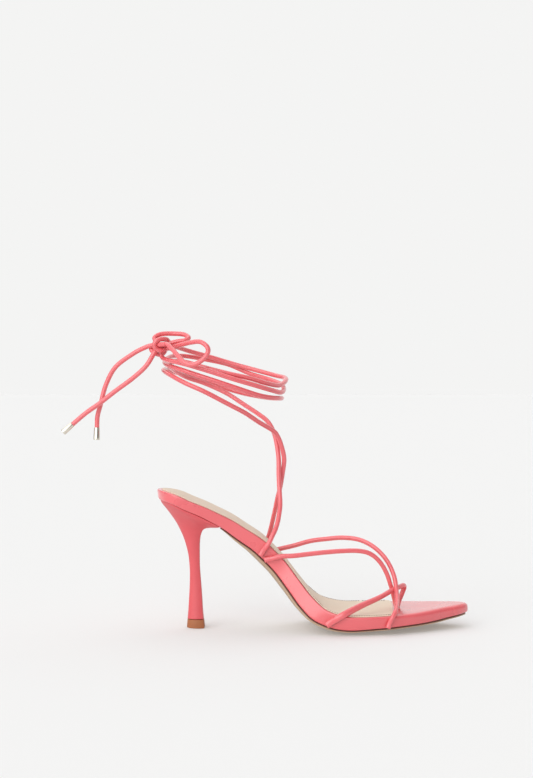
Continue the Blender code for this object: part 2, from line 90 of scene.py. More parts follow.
floor_paint = bpy.data.materials.new("studio paint")
floor_paint.use_nodes = True
shader = floor_paint.node_tree.nodes["Principled BSDF"]
shader.inputs["Base Color"].default_value = (0.629, 0.634, 0.640, 1.0)
# the emission is painted light that brightens the floor and its shadows
shader.inputs["Emission Color"].default_value = (1.0, 0.97, 0.93, 1.0)
shader.inputs["Emission Strength"].default_value = FLOOR_PAINTED_GLOW
shader.inputs["Roughness"].default_value = 1.0
shader.inputs["Specular IOR Level"].default_value = 0.0
bm = bmesh.new()
bmesh.ops.create_circle(bm, cap_ends=True, segments=96, radius=FLOOR_RADIUS)
bmesh.ops.translate(bm, verts=bm.verts, vec=(0, 0, -FLOOR_DROP))
floor_mesh = bpy.data.meshes.new("studio floor")
bm.to_mesh(floor_mesh)
bm.free()
floor_mesh.materials.append(floor_paint)
floor = bpy.data.objects.new("studio_floor", floor_mesh)
scene.collection.objects.link(floor)
print("floor", 2 * FLOOR_RADIUS, "m across")

# %% [markdown]
# ## The light
#
# Studio light is drawn by direction. The white backdrop is bright, and the room before it dim. A big softbox
# at the front left lights the near side and gives the pale sheen on the left side of every cord. Towards the
# toe the room is dimmer, so the band grows deeper in colour there. A dark flag at the back left gives the
# metal tips their dark edge line. The camera itself sees none of these, only the plain backdrop. The shadow
# on the floor lies close round the shoe, so the main light hangs overhead. It is a sun with a very wide
# disc, which makes shadows soft.

# %% Directions and strengths of the light
# EDGE and CORE are cosines of the angle from the middle of a light: it fades out from core to edge
BACK_SIDE = Vector((0, 1, 0))
BACK_EDGE, BACK_CORE = -0.2, 0.5
ROOM, BACKDROP = 0.64, 0.905
BOX_SIDE = Vector((-0.50, -0.80, 0.33)).normalized()
BOX_EDGE, BOX_CORE, BOX_LIGHT = 0.70, 0.95, 2.2
DIM_SIDE = Vector((0.80, -0.60, 0.0)).normalized()
DIM_EDGE, DIM_CORE, DIM_LIGHT = 0.1, 0.95, 0.5
FLAG_SIDE = Vector((-0.72, 0.69, 0.05)).normalized()
FLAG_EDGE, FLAG_CORE, FLAG_LIGHT = 0.92, 0.98, 0.05
KEY_FROM = Vector((-0.18, 0.22, 0.96)).normalized()
KEY_STRENGTH = 0.68
KEY_ANGLE = radians(75)
print("room", ROOM, "backdrop", BACKDROP, "softbox", BOX_LIGHT)

# %% Light by direction
world = bpy.data.worlds.new("studio light")
world.use_nodes = True
scene.world = world
scene.view_settings.view_transform = "Standard"
nodes, links = world.node_tree.nodes, world.node_tree.links
nodes["Background"].inputs["Color"].default_value = (1.0, 1.0, 0.992, 1.0)
where = nodes.new("ShaderNodeTexCoord")


def side_range(side, limits, values):
    """A value that changes with the angle between the direction looked in and a side."""
    toward = nodes.new("ShaderNodeVectorMath")
    toward.operation = "DOT_PRODUCT"
    toward.inputs[1].default_value = side
    links.new(where.outputs["Generated"], toward.inputs[0])
    ramp = nodes.new("ShaderNodeMapRange")
    ramp.interpolation_type = "SMOOTHSTEP"
    ramp.inputs["From Min"].default_value, ramp.inputs["From Max"].default_value = limits
    ramp.inputs["To Min"].default_value, ramp.inputs["To Max"].default_value = values
    links.new(toward.outputs["Value"], ramp.inputs["Value"])
    return ramp.outputs["Result"]


def combined(operation, first, second):
    node = nodes.new("ShaderNodeMath")
    node.operation = operation
    links.new(first, node.inputs[0])
    links.new(second, node.inputs[1])
    return node.outputs["Value"]


room = side_range(BACK_SIDE, (BACK_EDGE, BACK_CORE), (ROOM, BACKDROP))
softbox = side_range(BOX_SIDE, (BOX_EDGE, BOX_CORE), (0.0, BOX_LIGHT))
flag = side_range(FLAG_SIDE, (FLAG_EDGE, FLAG_CORE), (1.0, FLAG_LIGHT))
dim = side_range(DIM_SIDE, (DIM_EDGE, DIM_CORE), (1.0, DIM_LIGHT))
room = combined("MULTIPLY", combined("MULTIPLY", room, dim), flag)
lit = combined("ADD", room, softbox)
ray = nodes.new("ShaderNodeLightPath")
seen = nodes.new("ShaderNodeMix")
seen.inputs["B"].default_value = BACKDROP
links.new(ray.outputs["Is Camera Ray"], seen.inputs["Factor"])
links.new(lit, seen.inputs["A"])
links.new(seen.outputs["Result"], nodes["Background"].inputs["Strength"])
print("world nodes", len(nodes))

# %% Key light
key = bpy.data.lights.new("key light", "SUN")
key.energy = KEY_STRENGTH
key.angle = KEY_ANGLE
key_light = bpy.data.objects.new("key light", key)
key_light.rotation_euler = (-KEY_FROM).to_track_quat("-Z", "Y").to_euler()
scene.collection.objects.link(key_light)
print("key light from", [round(v, 2) for v in KEY_FROM])

# %% [markdown]
# ## Leather
#
# The wrap, the heel cover, the sock and the cords are all smooth leather. Close up, such leather has a fine
# pebble, slightly uneven gloss and a faint mottle in its colour. The three come from one node group, so that
# each leather only says how large its pebble is, and all share one size of mottle. It reads Object
# coordinates, because a pebble has no direction and needs no unwrapping.

# %% Node group for leather
PORE_SCALE = 0.45  # of the pebble's scale, so that pores are about twice as wide


def new_group(name, inputs, outputs):
    group = bpy.data.node_groups.new(name, "ShaderNodeTree")
    for label, value in inputs:
        socket = group.interface.new_socket(label, in_out="INPUT", socket_type="NodeSocketFloat")
        socket.default_value = value
    for label in outputs:
        group.interface.new_socket(label, in_out="OUTPUT", socket_type="NodeSocketFloat")
    entry = group.nodes.new("NodeGroupInput")
    leave = group.nodes.new("NodeGroupOutput")
    return group, entry, leave


leather_group, entry, leave = new_group(
    "leather surface", [("Pebble Scale", 2200.0), ("Mottle Scale", 60.0)], ["Pebble", "Mottle"]
)
nodes, links = leather_group.nodes, leather_group.links
where = nodes.new("ShaderNodeTexCoord")
pebble = nodes.new("ShaderNodeTexVoronoi")
pebble.feature = "SMOOTH_F1"
pebble.inputs["Smoothness"].default_value = 0.6
links.new(where.outputs["Object"], pebble.inputs["Vector"])
links.new(entry.outputs["Pebble Scale"], pebble.inputs["Scale"])
pores = nodes.new("ShaderNodeTexNoise")
pores.inputs["Detail"].default_value = 3.0
pore_scale = nodes.new("ShaderNodeMath")
pore_scale.operation = "MULTIPLY"
pore_scale.inputs[1].default_value = PORE_SCALE
links.new(entry.outputs["Pebble Scale"], pore_scale.inputs[0])
links.new(where.outputs["Object"], pores.inputs["Vector"])
links.new(pore_scale.outputs[0], pores.inputs["Scale"])
blend = nodes.new("ShaderNodeMath")
blend.operation = "SUBTRACT"
links.new(pores.outputs["Fac"], blend.inputs[0])
links.new(pebble.outputs["Distance"], blend.inputs[1])
links.new(blend.outputs[0], leave.inputs["Pebble"])
mottle = nodes.new("ShaderNodeTexNoise")
mottle.inputs["Detail"].default_value = 4.0
links.new(where.outputs["Object"], mottle.inputs["Vector"])
links.new(entry.outputs["Mottle Scale"], mottle.inputs["Scale"])
links.new(mottle.outputs["Fac"], leave.inputs["Mottle"])
print("group", leather_group.name, [s.name for s in leather_group.interface.items_tree])

# %% [markdown]
# ### Leather materials
#
# A leather is its colour in two shades, mixed by the mottle, its gloss, and the pebble as a bump. Coral
# leather is dyed through and finished with a clear coat, which gives the pale sheen where it is seen at a low
# angle. The sock is duller lining leather. A marked leather also reads a number that its piece carries on
# each point, and turns to a second colour where that number is in range: the joint along a cord, or the inked
# edge of the outsole.

# %% Making a leather
COAT_ROUGHNESS = 0.25
MOTTLE_LOW, MOTTLE_HIGH = 0.3, 0.7  # the range that the noise mostly keeps to
GLOSS_SPREAD = 0.06  # roughness varies by this much up and down
BUMP_STRENGTH = 0.5


def leather(name, shades, roughness, pebble_scale, pebble_height, gloss=0.5, coat=0.0, marked=None):
    material = bpy.data.materials.new(name)
    material.use_nodes = True
    nodes, links = material.node_tree.nodes, material.node_tree.links
    shader = nodes["Principled BSDF"]
    shader.inputs["Specular IOR Level"].default_value = gloss
    shader.inputs["Coat Weight"].default_value = coat
    shader.inputs["Coat Roughness"].default_value = COAT_ROUGHNESS
    surface = nodes.new("ShaderNodeGroup")
    surface.node_tree = leather_group
    surface.inputs["Pebble Scale"].default_value = pebble_scale
    shade = nodes.new("ShaderNodeMix")
    shade.data_type = "RGBA"
    shade.inputs["A"].default_value = (*shades[0], 1.0)
    shade.inputs["B"].default_value = (*shades[1], 1.0)
    links.new(surface.outputs["Mottle"], shade.inputs["Factor"])
    colour = shade.outputs["Result"]
    if marked:
        number, off, full, second = marked
        carried = nodes.new("ShaderNodeAttribute")
        carried.attribute_name = number
        amount = nodes.new("ShaderNodeMapRange")
        amount.inputs["From Min"].default_value = off
        amount.inputs["From Max"].default_value = full
        links.new(carried.outputs["Fac"], amount.inputs["Value"])
        mark = nodes.new("ShaderNodeMix")
        mark.data_type = "RGBA"
        mark.inputs["B"].default_value = (*second, 1.0)
        links.new(amount.outputs["Result"], mark.inputs["Factor"])
        links.new(colour, mark.inputs["A"])
        colour = mark.outputs["Result"]
    links.new(colour, shader.inputs["Base Color"])
    uneven = nodes.new("ShaderNodeMapRange")
    uneven.inputs["From Min"].default_value = MOTTLE_LOW
    uneven.inputs["From Max"].default_value = MOTTLE_HIGH
    uneven.inputs["To Min"].default_value = roughness - GLOSS_SPREAD
    uneven.inputs["To Max"].default_value = roughness + GLOSS_SPREAD
    links.new(surface.outputs["Mottle"], uneven.inputs["Value"])
    links.new(uneven.outputs["Result"], shader.inputs["Roughness"])
    bump = nodes.new("ShaderNodeBump")
    bump.inputs["Strength"].default_value = BUMP_STRENGTH
    bump.inputs["Distance"].default_value = pebble_height
    links.new(surface.outputs["Pebble"], bump.inputs["Height"])
    links.new(bump.outputs["Normal"], shader.inputs["Normal"])
    print(name, "roughness", roughness, "coat", coat)
    return material


# %% Leathers of the wrap, the heel, the cords and the sock
CORAL = ((0.72, 0.098, 0.114), (0.78, 0.118, 0.134))
# painted shade: the heel's coral is a darker copy of the wrap's, for less light on the stem
HEEL_CORAL_PAINTED_SHADE = ((0.64, 0.084, 0.098), (0.70, 0.101, 0.115))
# painted light: the cords' coral is a lighter copy of the wrap's, for the brighter light on them
CORD_CORAL_PAINTED_LIGHT = ((0.76, 0.118, 0.136), (0.82, 0.142, 0.160))
JOINT = ("seam", 0.0, 1.0, (0.50, 0.06, 0.08))
SOCK = ((0.70, 0.58, 0.445), (0.78, 0.655, 0.52))
wrap_leather = leather(
    "coral wrap leather", CORAL, roughness=0.30, pebble_scale=1800.0, pebble_height=0.000008, gloss=0.6,
    coat=1.0,
)
heel_leather = leather(
    "coral heel leather", HEEL_CORAL_PAINTED_SHADE, roughness=0.45, pebble_scale=2000.0, pebble_height=0.00003
)
cord_leather = leather(
    "coral cord leather", CORD_CORAL_PAINTED_LIGHT, roughness=0.30, pebble_scale=2600.0, pebble_height=0.000015, coat=0.9,
    marked=JOINT,
)
sock_leather = leather(
    "beige sock leather", SOCK, roughness=0.55, pebble_scale=1500.0, pebble_height=0.00008
)

# %% [markdown]
# ## Welded copies of the CAD solids
#
# A CAD solid arrives as loose triangles. To refine one, a copy is welded and its triangles are joined into
# quads again. Long quads that run across the sole are cut a few times, and then Subdivision Surface can
# round the form without pulling it in. Edges that should stay crisp get a crease.

# %% Copying a solid
WELD = 1e-6
LONG_EDGE = 0.006
ACROSS = 0.7  # least share of an edge's length that lies across the sole
CROSS_CUTS = 7
UPWARDS, SIDEWAYS = 0.4, 0.05  # least and most of a normal's parts on a sheet's upper face


def edges_among(geom):
    return [e for e in geom if isinstance(e, bmesh.types.BMEdge)]


def verts_among(geom):
    return [v for v in geom if isinstance(v, bmesh.types.BMVert)]


def copy_of(node):
    """A welded copy of a CAD solid as a bmesh of quads."""
    bm = bmesh.new()
    bm.from_mesh(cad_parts[node].data)
    bmesh.ops.remove_doubles(bm, verts=bm.verts, dist=WELD)
    bmesh.ops.join_triangles(
        bm, faces=bm.faces, angle_face_threshold=radians(30), angle_shape_threshold=radians(70)
    )
    return bm


def upper_faces(bm):
    return [f for f in bm.faces if f.normal.z > UPWARDS and abs(f.normal.y) < SIDEWAYS]


def cut_across(bm):
    """Cuts the long edges that run across the sole. Edges along it stay, so it bends in one sweep."""
    across = []
    for edge in bm.edges:
        run = edge.verts[1].co - edge.verts[0].co
        if run.length > LONG_EDGE and abs(run.y) > ACROSS * run.length:
            across.append(edge)
    bmesh.ops.subdivide_edges(bm, edges=across, cuts=CROSS_CUTS, use_grid_fill=True)
    print(len(across), "edges cut")


def crease_sharp(bm, angle, value):
    crease = bm.edges.layers.float.new("crease_edge")
    for edge in bm.edges:
        if len(edge.link_faces) == 2 and edge.calc_face_angle() > angle:
            edge[crease] = value


# %% Finishing a piece
def finish_piece(name, bm, material, nodes, levels=2):
    """Makes the piece, lets it stand for its CAD nodes and ride on the sandal's one body."""
    mesh = bpy.data.meshes.new(name)
    bm.to_mesh(mesh)
    bm.free()
    mesh.shade_smooth()
    mesh.materials.append(material)
    piece = bpy.data.objects.new(name, mesh)
    scene.collection.objects.link(piece)
    if levels:
        smooth = piece.modifiers.new("finer", "SUBSURF")
        smooth.levels = smooth.render_levels = levels
    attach(piece, "root")
    if nodes:
        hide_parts(*nodes)
    print(name, len(mesh.polygons), "faces before subdivision")
    return piece


# %% [markdown]
# ## Footbed
#
# The footbed is a board bent over the last, padded, and wrapped in coral leather that turns under at the
# feather line. Its CAD solid has the true outline and edges, so a smoothed copy is all that it needs.

# %% Footbed
bm = copy_of("footbed")
cut_across(bm)
finish_piece("footbed_wrap", bm, wrap_leather, ["footbed"])

# %% [markdown]
# ## Sock
#
# The sock is the beige insole glued on the footbed. A shallow pressed channel runs round it just inside its
# edge, and in front of the waist a fine stitch line runs along its sides in that channel. The channel is
# three insets of the upper face, down and up again, and its middle loop is the path that the stitches follow.

# %% Sock with a pressed stitch channel
CHANNEL_INSET, CHANNEL_WIDTH, CHANNEL_DEPTH = 0.0008, 0.0005, 0.00012
GLUE_GAP = 0.0003  # between CAD solids that are glued together
CHANNEL_INSETS = [
    (CHANNEL_INSET, 0), (CHANNEL_WIDTH / 2, -CHANNEL_DEPTH), (CHANNEL_WIDTH / 2, CHANNEL_DEPTH),
]

bm = copy_of("sock")
top = upper_faces(bm)
for thickness, depth in CHANNEL_INSETS:
    inset = bmesh.ops.inset_region(bm, faces=top, thickness=thickness, depth=depth, use_even_offset=True)
    border = inset["faces"]
    if depth < 0:
        channel = [e for e in bm.edges if sum(f in border for f in e.link_faces) == 1]
        channel = [e for e in channel if any(f in top for f in e.link_faces)]
        channel_ends = [(e.verts[0].co.copy(), e.verts[1].co.copy()) for e in channel]
print("stitch channel", len(channel_ends), "edges")
cut_across(bm)
bmesh.ops.translate(bm, verts=bm.verts, vec=(0, 0, -GLUE_GAP))
finish_piece("sock", bm, sock_leather, ["sock"])

# %% [markdown]
# ### Stitches
#
# Each stitch is a short bead of dark thread that lies in the channel. A loop of edges has no order of its
# own, so it is walked from point to point first. Stretched spheres are enough at this size. The twist of the
# thread is a fine wave in its colour and bump.

# %% Walking along a line
def walk(edges):
    """The points of a closed loop of edges, in order. Edges are given as pairs of points."""
    near = {}
    for a, b in edges:
        for one, other in ((a, b), (b, a)):
            near.setdefault(tuple(round(c, 6) for c in one), []).append(other)
    points = [edges[0][0], edges[0][1]]
    while len(points) < len(edges):
        before, last = points[-2], points[-1]
        choices = near[tuple(round(c, 6) for c in last)]
        points.append(max(choices, key=lambda p: (p - before).length))
    return points


def evenly(points, step):
    """Points at even steps along a chain of points."""
    spots, carried = [points[0]], 0.0
    for a, b in zip(points, points[1:]):
        length = (b - a).length
        place = step - carried
        while place <= length:
            spots.append(a.lerp(b, place / length))
            place += step
        carried = length - (place - step)
    return spots


channel_path = walk(channel_ends)
print("channel", len(channel_path), "points")

# %% Thread
thread = bpy.data.materials.new("brown thread")
thread.use_nodes = True
nodes, links = thread.node_tree.nodes, thread.node_tree.links
where = nodes.new("ShaderNodeTexCoord")
twist = nodes.new("ShaderNodeTexWave")
twist.inputs["Scale"].default_value = 1500.0
twist.inputs["Distortion"].default_value = 2.0
links.new(where.outputs["Object"], twist.inputs["Vector"])
strand = nodes.new("ShaderNodeMix")
strand.data_type = "RGBA"
strand.inputs["A"].default_value = (0.06, 0.032, 0.020, 1.0)
strand.inputs["B"].default_value = (0.13, 0.075, 0.046, 1.0)
links.new(twist.outputs["Fac"], strand.inputs["Factor"])
links.new(strand.outputs["Result"], nodes["Principled BSDF"].inputs["Base Color"])
ridge = nodes.new("ShaderNodeBump")
ridge.inputs["Distance"].default_value = 0.00004
links.new(twist.outputs["Fac"], ridge.inputs["Height"])
links.new(ridge.outputs["Normal"], nodes["Principled BSDF"].inputs["Normal"])
nodes["Principled BSDF"].inputs["Roughness"].default_value = 0.7
print(thread.name, len(nodes), "nodes")

# %% Stitches along the channel
STITCH_PITCH, STITCH_LENGTH, THREAD = 0.0017, 0.0011, 0.0006
THREAD_FLAT = 0.7  # its height as a share of its width
THREAD_RISE = 0.0002  # the thread lies in the channel and stands a little out of it
STITCHED_FROM = -0.004  # behind the waist the sock is only glued, and so is its front edge

stitch_spots = evenly(channel_path + channel_path[:1], STITCH_PITCH)
stitches = [
    (a, b) for a, b in zip(stitch_spots, stitch_spots[1:])
    if a.x > STITCHED_FROM and abs((b - a).x) > abs((b - a).y)
]
bm = bmesh.new()
for a, b in stitches:
    turn = (b - a).to_track_quat("X", "Z").to_matrix().to_4x4()
    stretch = Matrix.Diagonal((STITCH_LENGTH / THREAD, 1.0, THREAD_FLAT, 1.0))
    bmesh.ops.create_uvsphere(
        bm, u_segments=8, v_segments=6, radius=THREAD / 2, matrix=Matrix.Translation(a) @ turn @ stretch
    )
bmesh.ops.translate(bm, verts=bm.verts, vec=(0, 0, THREAD_RISE - GLUE_GAP))
finish_piece("sock_stitches", bm, thread, [], levels=0)
print("stitches", len(stitches))

# %% [markdown]
# ## Outsole
#
# The outsole is a thin tan sheet, flat above and rounded below. Its edge is inked dark brown just under the
# wrapped band, where a small groove, the feather line, parts the two. The groove is a bevel of the outsole's
# upper outline. Each point then gets its distance from that outline, so that the ink is a line of even width.

# %% Outsole with an inked edge
GROOVE = 0.0004
INK_WIDTH, INK_BLUR = 0.0006, 0.0002
OUTLINE_READINGS = 12  # points on each edge of the outline

bm = copy_of("outsole")
top = upper_faces(bm)
outline = [e for e in bm.edges if sum(f in top for f in e.link_faces) == 1]
feather = KDTree(len(outline) * OUTLINE_READINGS)
for edge in outline:
    for k in range(OUTLINE_READINGS):
        feather.insert(edge.verts[0].co.lerp(edge.verts[1].co, k / OUTLINE_READINGS), k)
feather.balance()
bmesh.ops.bevel(
    bm, geom=outline, offset=GROOVE, segments=2, profile=0.5, affect="EDGES", material=-1, clamp_overlap=True
)
drop = bm.verts.layers.float.new("drop")
for vert in bm.verts:
    vert[drop] = feather.find(vert.co)[2]
crease_sharp(bm, angle=radians(50), value=0.5)
INK = ("drop", INK_WIDTH + INK_BLUR, INK_WIDTH - INK_BLUR, (0.15, 0.055, 0.032))
TAN = ((0.42, 0.295, 0.190), (0.48, 0.345, 0.230))
sole_leather = leather(
    "tan sole leather", TAN, roughness=0.5, pebble_scale=1400.0, pebble_height=0.00006, marked=INK
)
finish_piece("outsole", bm, sole_leather, ["outsole"])
print("outsole outline", len(outline), "edges")

# %% [markdown]
# ## Heel and top lift
#
# The heel is a moulded stem covered in the same coral leather, wide at the seat and slim above its foot. Its
# colour is a darker copy of the wrap's coral, which is painted shade. Its seat and foot keep crisp edges, and
# its upper half is drawn up a hair, so that the cover meets the wrap. The top lift is a plain tan tread piece
# with a slightly broken edge.

# %% Heel
bm = copy_of("heel")
seat_height = max(vert.co.z for vert in bm.verts)
for vert in bm.verts:
    vert.co.z += GLUE_GAP * max(0.0, 2 * vert.co.z / seat_height - 1)
crease_sharp(bm, angle=radians(40), value=0.8)
finish_piece("heel_cover", bm, heel_leather, ["heel"])

# %% Top lift
LIFT_EDGE = 0.0004
bm = copy_of("top_lift")
sharp = [e for e in bm.edges if e.calc_face_angle() > radians(50)]
bmesh.ops.bevel(bm, geom=sharp, offset=LIFT_EDGE, segments=3, profile=0.5, affect="EDGES", material=-1)
TREAD = ((0.33, 0.105, 0.036), (0.39, 0.135, 0.050))
lift_rubber = leather("tan tread", TREAD, roughness=0.6, pebble_scale=3000.0, pebble_height=0.00003)
finish_piece("top_lift", bm, lift_rubber, ["top_lift"], levels=0)

# %% [markdown]
# ## Cords
#
# The straps and ties are strips of coral leather rolled round a core and closed along their length. A
# bevelled curve would give a plain tube. Sweeping a ring instead, with one extrusion for each step along the
# route, lets the ring carry a fine groove for the joint, small creases on the inside of a bend, and a pressed
# end where the cord is glued to the side of the footbed. The routes are the CAD routes, in millimetres.

# %% Routes of the straps
MM = 0.001
STRAP_D, TIE_D = 3.4 * MM, 3.3 * MM
INSTEP_STRAP = [
    (-33.4, 20.5, 49.8), (-28.2, 20.4, 50.8), (-22.1, 20.3, 52.4),
    (-12.2, 20.5, 54.7), (-0.7, 19.0, 58.1), (10.6, 16.5, 59.9), (22.5, 13.0, 61.2), (32.9, 9.0, 60.4),
    (41.1, 5.0, 57.3), (48.1, 1.0, 52.0), (53.5, -3.5, 45.0), (57.1, -7.5, 36.1), (58.2, -10.6, 27.6),
    (58.0, -18.0, 22.0), (56.6, -27.0, 18.2), (55.0, -32.4, 15.4),
    (53.0, -34.6, 12.1), (51.5, -34.9, 9.0), (50.2, -35.2, 5.2),
]
POST_STRAP = [
    (-33.4, -22.3, 49.8), (-28.2, -22.4, 50.8), (-22.1, -22.4, 52.4),
    (-13.1, -22.0, 52.8), (-2.1, -20.5, 53.9), (9.0, -18.5, 54.8), (20.2, -16.0, 55.3), (31.4, -13.5, 55.1),
    (39.8, -11.5, 52.9), (46.6, -9.5, 47.2), (51.6, -7.2, 38.9), (54.8, -5.2, 29.8), (57.2, -2.2, 21.4),
    (58.8, -0.4, 15.0),
]
TOE_STRAP = [
    (8.6, -36.2, 7.2), (12.4, -36.5, 10.0), (16.3, -37.1, 12.6),
    (20.4, -36.9, 15.0), (24.9, -34.2, 16.9), (30.3, -30.0, 18.8), (36.0, -26.0, 20.7), (41.7, -22.0, 22.4),
    (47.6, -17.5, 24.4), (53.7, -11.5, 26.7), (56.8, -7.8, 27.8), (61.4, -2.2, 28.6), (64.4, 2.0, 28.9),
    (65.2, 4.6, 27.0), (63.6, 4.9, 22.6), (61.2, 2.8, 17.6), (60.3, 1.8, 15.0),
]
print("points on the straps", [len(route) for route in (INSTEP_STRAP, POST_STRAP, TOE_STRAP)])

# %% [markdown]
# ### Routes of the ties and of the bow
#
# A route is a short list of points, one wherever the cord changes its bend. The outer tie goes
# once and a half round the ankle, the inner one two and a half times, each turn lying just above or below
# the others, and both end behind in the knot. The bow's routes all start at the knot.

# %% Routes of the ankle ties
LATERAL_TIE = [
    (-36.3, -22.2, 52.6), (-33.9, -22.2, 56.4), (-30.5, -22.2, 61.1),
    (-28.0, -20.8, 66.0), (-25.5, -18.0, 71.2), (-23.7, -14.5, 77.4), (-22.4, -9.0, 86.4),
    (-22.8, -4.5, 95.8), (-23.3, -1.8, 106.7), (-23.4, -0.2, 117.9), (-24.6, 1.6, 127.7), (-26.6, 3.6, 136.0),
    (-30.8, 8.6, 143.7), (-37.5, 15.4, 149.0), (-49.9, 25.0, 157.0), (-61.2, 29.5, 164.1),
    (-76.4, 29.5, 171.0), (-89.1, 24.0, 175.3),
    (-96.4, 13.0, 179.5), (-99.2, 2.0, 182.5), (-98.0, -9.0, 184.9), (-93.8, -20.0, 186.2),
    (-85.2, -28.5, 184.9), (-73.5, -32.8, 181.5), (-57.9, -33.6, 177.5), (-43.8, -31.0, 174.4),
    (-32.2, -25.0, 171.0), (-23.4, -13.5, 169.6), (-18.6, -1.0, 172.6), (-19.0, 10.0, 175.0),
    (-25.6, 22.0, 176.8), (-38.1, 29.4, 180.3), (-54.8, 33.0, 184.9), (-72.9, 31.6, 190.3),
    (-87.1, 26.0, 194.2), (-96.4, 15.0, 197.0), (-102.0, 3.0, 197.6), (-103.9, -6.0, 197.2),
    (-105.0, -14.0, 196.8),
]
MEDIAL_TIE = [
    (-36.3, 20.5, 52.6), (-33.9, 20.5, 56.4), (-30.5, 20.5, 61.1),
    (-26.8, 15.0, 76.4), (-24.1, 8.5, 89.8), (-22.3, 4.6, 97.5), (-20.5, 2.0, 108.5),
    (-19.5, -0.4, 118.2), (-21.6, -1.8, 127.7), (-24.2, -2.8, 134.1), (-27.4, -5.4, 138.0),
    (-37.3, -14.0, 144.2), (-46.6, -22.0, 150.6), (-56.7, -28.0, 156.1), (-73.5, -33.0, 165.0),
    (-87.2, -30.0, 171.1), (-97.4, -19.0, 176.3), (-103.8, -3.0, 179.9), (-103.2, 12.5, 180.7),
    (-97.4, 24.5, 179.0), (-83.9, 34.0, 174.6), (-65.8, 37.0, 168.6), (-47.5, 33.0, 163.6),
    (-32.3, 22.0, 160.9), (-23.6, 9.0, 160.3), (-21.2, -2.0, 160.6), (-23.2, -13.0, 160.6),
    (-28.6, -22.0, 161.0), (-37.5, -29.0, 162.8), (-50.5, -33.5, 167.1), (-63.3, -35.0, 171.4),
    (-76.8, -34.0, 175.8), (-89.3, -29.0, 179.9), (-98.2, -18.0, 182.8), (-103.0, -3.0, 185.2),
    (-102.8, 10.0, 188.3), (-99.0, 22.0, 190.6), (-90.2, 30.0, 190.8), (-76.7, 35.5, 188.6),
    (-59.9, 37.0, 184.9), (-43.9, 33.0, 178.2), (-29.4, 22.0, 173.6), (-21.4, 10.0, 170.2),
    (-19.8, -2.0, 166.9), (-22.0, -14.0, 164.7), (-29.5, -25.0, 166.5), (-39.7, -32.5, 169.5),
    (-53.1, -36.4, 173.4), (-68.5, -37.2, 178.4), (-83.4, -35.6, 182.9), (-92.5, -30.6, 185.2),
    (-99.0, -23.0, 186.6), (-103.4, -16.0, 188.4), (-104.8, -15.2, 192.0),
]
print("points on the ties", len(LATERAL_TIE), len(MEDIAL_TIE))

# %% Routes of the bow
KNOT = (-105.1, -15.0, 196.7)
UPPER_LOOP = [
    KNOT, (-109.4, -11.9, 201.6), (-108.0, -10.8, 203.9), (-104.0, -9.6, 205.3), (-96.4, -8.8, 205.5),
    (-89.2, -10.5, 204.8), (-85.7, -14.0, 202.4), (-88.4, -15.8, 200.4), (-94.0, -15.6, 199.7), KNOT,
]
FRONT_LOOP = [
    KNOT, (-99.0, -18.6, 195.0), (-92.7, -23.0, 196.6), (-83.8, -32.0, 198.4), (-76.6, -40.0, 198.7),
    (-71.9, -43.2, 195.6), (-71.0, -43.5, 191.8), (-74.4, -43.5, 186.8), (-80.7, -43.0, 183.3),
    (-86.5, -41.0, 184.5), (-91.0, -37.0, 188.8), (-95.8, -31.0, 193.9), (-100.1, -25.0, 197.7), KNOT,
]
UPPER_END = [
    KNOT, (-110.5, -13.6, 197.2), (-115.3, -12.5, 196.0), (-124.5, -11.0, 191.4), (-136.8, -9.0, 182.2),
    (-143.6, -8.0, 169.8), (-147.0, -8.0, 157.3), (-149.4, -8.0, 148.2), (-149.8, -8.0, 140.6),
]
FRONT_END = [
    KNOT, (-108.9, -17.0, 192.3), (-114.8, -18.0, 182.8), (-123.9, -17.0, 174.5), (-135.8, -15.0, 165.9),
    (-147.0, -13.5, 157.3), (-156.8, -13.0, 150.4), (-165.8, -13.0, 142.8),
]
print("points on the bow", [len(route) for route in (UPPER_LOOP, FRONT_LOOP, UPPER_END, FRONT_END)])

# %% [markdown]
# ### From a route to a swept cord
#
# A smooth curve through the route's points is read at even steps. The ring travels along it without
# twisting: at each step it turns only as much as the route turns. The joint starts on the side that is
# given, and each ring point remembers which spoke it is, because extrusion doesn't keep an order.

# %% Smooth route and its frames
CORD_STEP = 0.0009
READINGS = 16  # points read between two points of a route


def smooth_path(points, step=CORD_STEP):
    """Evenly spaced points along a smooth curve through a route in millimetres."""
    route = [Vector(p) * MM for p in points]
    route = [2 * route[0] - route[1]] + route + [2 * route[-1] - route[-2]]
    fine = []
    for a, b, c, d in zip(route, route[1:], route[2:], route[3:]):
        for k in range(READINGS):
            t = k / READINGS
            pull = (2 * a - 5 * b + 4 * c - d) * t * t + (3 * b - a - 3 * c + d) * t * t * t
            fine.append((2 * b + (c - a) * t + pull) / 2)
    fine.append(route[-2])
    length = path_length(fine)
    return evenly(fine, length / max(2, round(length / step)) * (1 - 1e-6))


def path_length(path):
    return sum((b - a).length for a, b in zip(path, path[1:]))


def frames_along(path, side):
    """For each point of a path its direction, and a side vector that never twists about it."""
    frames = []
    for i in range(len(path)):
        ahead = (path[min(i + 1, len(path) - 1)] - path[max(i - 1, 0)]).normalized()
        if frames:
            side = frames[-1][0].rotation_difference(ahead) @ side
        side = (side - ahead * side.dot(ahead)).normalized()
        frames.append((ahead, side))
    return frames


# %% [markdown]
# ### Sweeping the ring
#
# The ring is extruded one step at a time, and after each step its new points are put where the frame says.
# Three things make the tube a rolled leather cord. One spoke lies a little deeper, which is the joint. The
# inside of a tight bend gets faint ripples. An end that is glued to the footbed is pressed flat against it.

